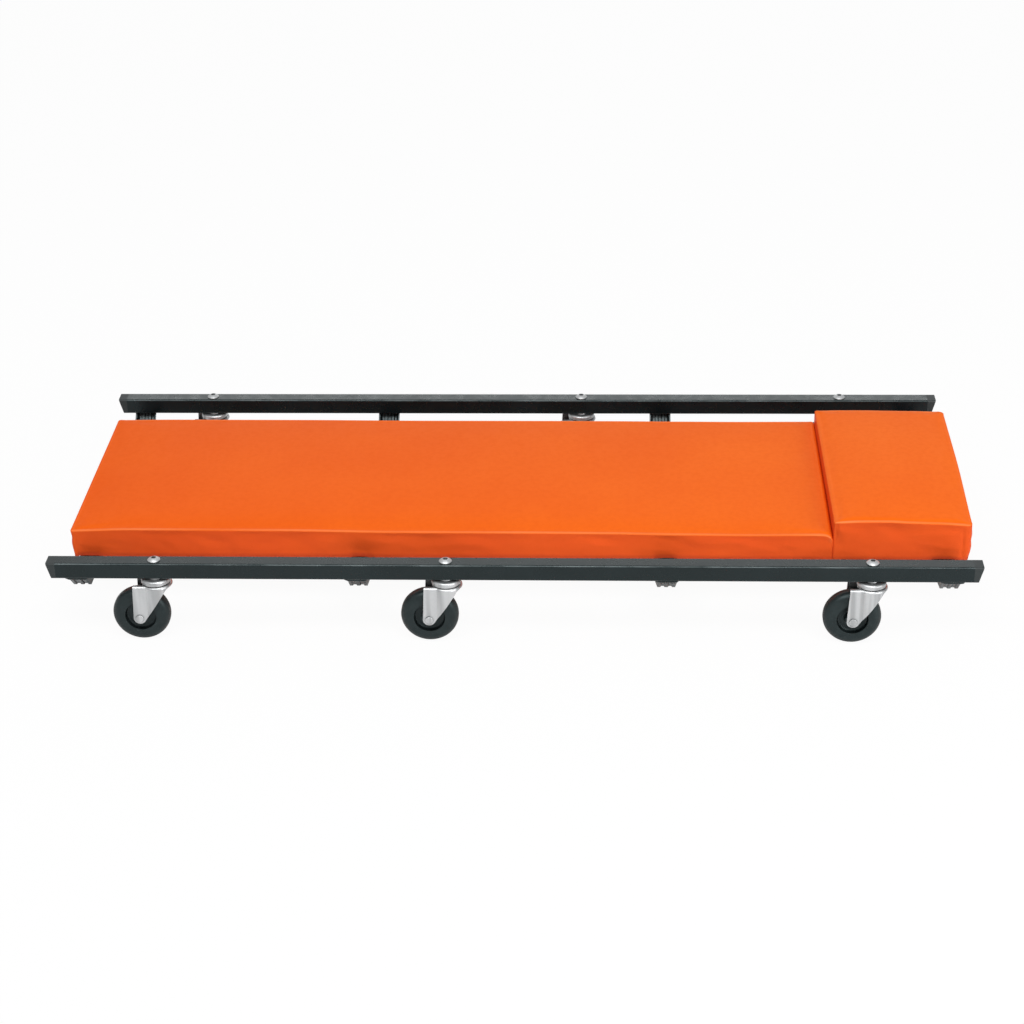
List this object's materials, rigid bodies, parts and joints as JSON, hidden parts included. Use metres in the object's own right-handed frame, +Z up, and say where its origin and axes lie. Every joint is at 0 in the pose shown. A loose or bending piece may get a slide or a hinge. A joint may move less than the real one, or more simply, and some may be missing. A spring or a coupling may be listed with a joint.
{
  "type": "mechanic creeper",
  "caption": "Low padded board on a welded tube frame with swivel casters, with a raised headrest, for lying on the back and rolling under a vehicle.",
  "frame": {"origin": "on the floor below the middle of the rails' length and of the frame's width", "axes": "+X along the rails to the headrest, +Z up"},
  "size_m": [1.016, 0.4436, 0.115],
  "materials": {
    "powder_coat": "satin powder coat",
    "cap_plastic": "matte moulded",
    "plywood": "raw",
    "foam": "open cell",
    "vinyl": "satin embossed vinyl",
    "zinc": "bright zinc plating",
    "bright_steel": "polished",
    "wheel_plastic": "satin moulded"
  },
  "bodies": {
    "frame": {"left_rail": "powder_coat", "right_rail": "powder_coat", "left_foot_cap": "cap_plastic", "left_head_cap": "cap_plastic", "right_foot_cap": "cap_plastic", "right_head_cap": "cap_plastic", "cross_member_1": "powder_coat", "cross_member_2": "powder_coat", "cross_member_3": "powder_coat", "cross_member_4": "powder_coat", "body_board": "plywood", "body_foam": "foam", "body_cover": "vinyl", "head_board": "plywood", "head_foam": "foam", "head_cover": "vinyl", "caster_bolts": "bright_steel", "swivel_washers": "zinc", "swivel_nuts": "zinc", "board_screws": "zinc", "left_foot_race": "zinc", "left_middle_race": "zinc", "left_head_race": "zinc", "right_foot_race": "zinc", "right_middle_race": "zinc", "right_head_race": "zinc"},
    "left_foot_swivel": {"left_foot_fork": "zinc", "left_foot_axle": "zinc", "left_foot_balls": "bright_steel"},
    "left_foot_roller": {"left_foot_wheel": "wheel_plastic", "left_foot_bush": "bright_steel"},
    "left_middle_swivel": {"left_middle_fork": "zinc", "left_middle_axle": "zinc", "left_middle_balls": "bright_steel"},
    "left_middle_roller": {"left_middle_wheel": "wheel_plastic", "left_middle_bush": "bright_steel"},
    "left_head_swivel": {"left_head_fork": "zinc", "left_head_axle": "zinc", "left_head_balls": "bright_steel"},
    "left_head_roller": {"left_head_wheel": "wheel_plastic", "left_head_bush": "bright_steel"},
    "right_foot_swivel": {"right_foot_fork": "zinc", "right_foot_axle": "zinc", "right_foot_balls": "bright_steel"},
    "right_foot_roller": {"right_foot_wheel": "wheel_plastic", "right_foot_bush": "bright_steel"},
    "right_middle_swivel": {"right_middle_fork": "zinc", "right_middle_axle": "zinc", "right_middle_balls": "bright_steel"},
    "right_middle_roller": {"right_middle_wheel": "wheel_plastic", "right_middle_bush": "bright_steel"},
    "right_head_swivel": {"right_head_fork": "zinc", "right_head_axle": "zinc", "right_head_balls": "bright_steel"},
    "right_head_roller": {"right_head_wheel": "wheel_plastic", "right_head_bush": "bright_steel"}
  },
  "joints": [
    {"name": "left_foot_turn", "type": "hinge", "parent": "frame", "child": "left_foot_swivel", "pos_m": [-0.39, -0.204, 0.0713], "axis": [0, 0, 1], "continuous": true},
    {"name": "left_foot_roll", "type": "hinge", "parent": "left_foot_swivel", "child": "left_foot_roller", "pos_m": [-0.409, -0.204, 0.03175], "axis": [0, 1, 0], "continuous": true},
    {"name": "left_middle_turn", "type": "hinge", "parent": "frame", "child": "left_middle_swivel", "pos_m": [-0.071, -0.204, 0.0713], "axis": [0, 0, 1], "continuous": true},
    {"name": "left_middle_roll", "type": "hinge", "parent": "left_middle_swivel", "child": "left_middle_roller", "pos_m": [-0.09, -0.204, 0.03175], "axis": [0, 1, 0], "continuous": true},
    {"name": "left_head_turn", "type": "hinge", "parent": "frame", "child": "left_head_swivel", "pos_m": [0.39, -0.204, 0.0713], "axis": [0, 0, 1], "continuous": true},
    {"name": "left_head_roll", "type": "hinge", "parent": "left_head_swivel", "child": "left_head_roller", "pos_m": [0.371, -0.204, 0.03175], "axis": [0, 1, 0], "continuous": true},
    {"name": "right_foot_turn", "type": "hinge", "parent": "frame", "child": "right_foot_swivel", "pos_m": [-0.39, 0.204, 0.0713], "axis": [0, 0, 1], "continuous": true},
    {"name": "right_foot_roll", "type": "hinge", "parent": "right_foot_swivel", "child": "right_foot_roller", "pos_m": [-0.409, 0.204, 0.03175], "axis": [0, 1, 0], "continuous": true},
    {"name": "right_middle_turn", "type": "hinge", "parent": "frame", "child": "right_middle_swivel", "pos_m": [0.071, 0.204, 0.0713], "axis": [0, 0, 1], "continuous": true},
    {"name": "right_middle_roll", "type": "hinge", "parent": "right_middle_swivel", "child": "right_middle_roller", "pos_m": [0.052, 0.204, 0.03175], "axis": [0, 1, 0], "continuous": true},
    {"name": "right_head_turn", "type": "hinge", "parent": "frame", "child": "right_head_swivel", "pos_m": [0.39, 0.204, 0.0713], "axis": [0, 0, 1], "continuous": true},
    {"name": "right_head_roll", "type": "hinge", "parent": "right_head_swivel", "child": "right_head_roller", "pos_m": [0.371, 0.204, 0.03175], "axis": [0, 1, 0], "continuous": true}
  ]
}
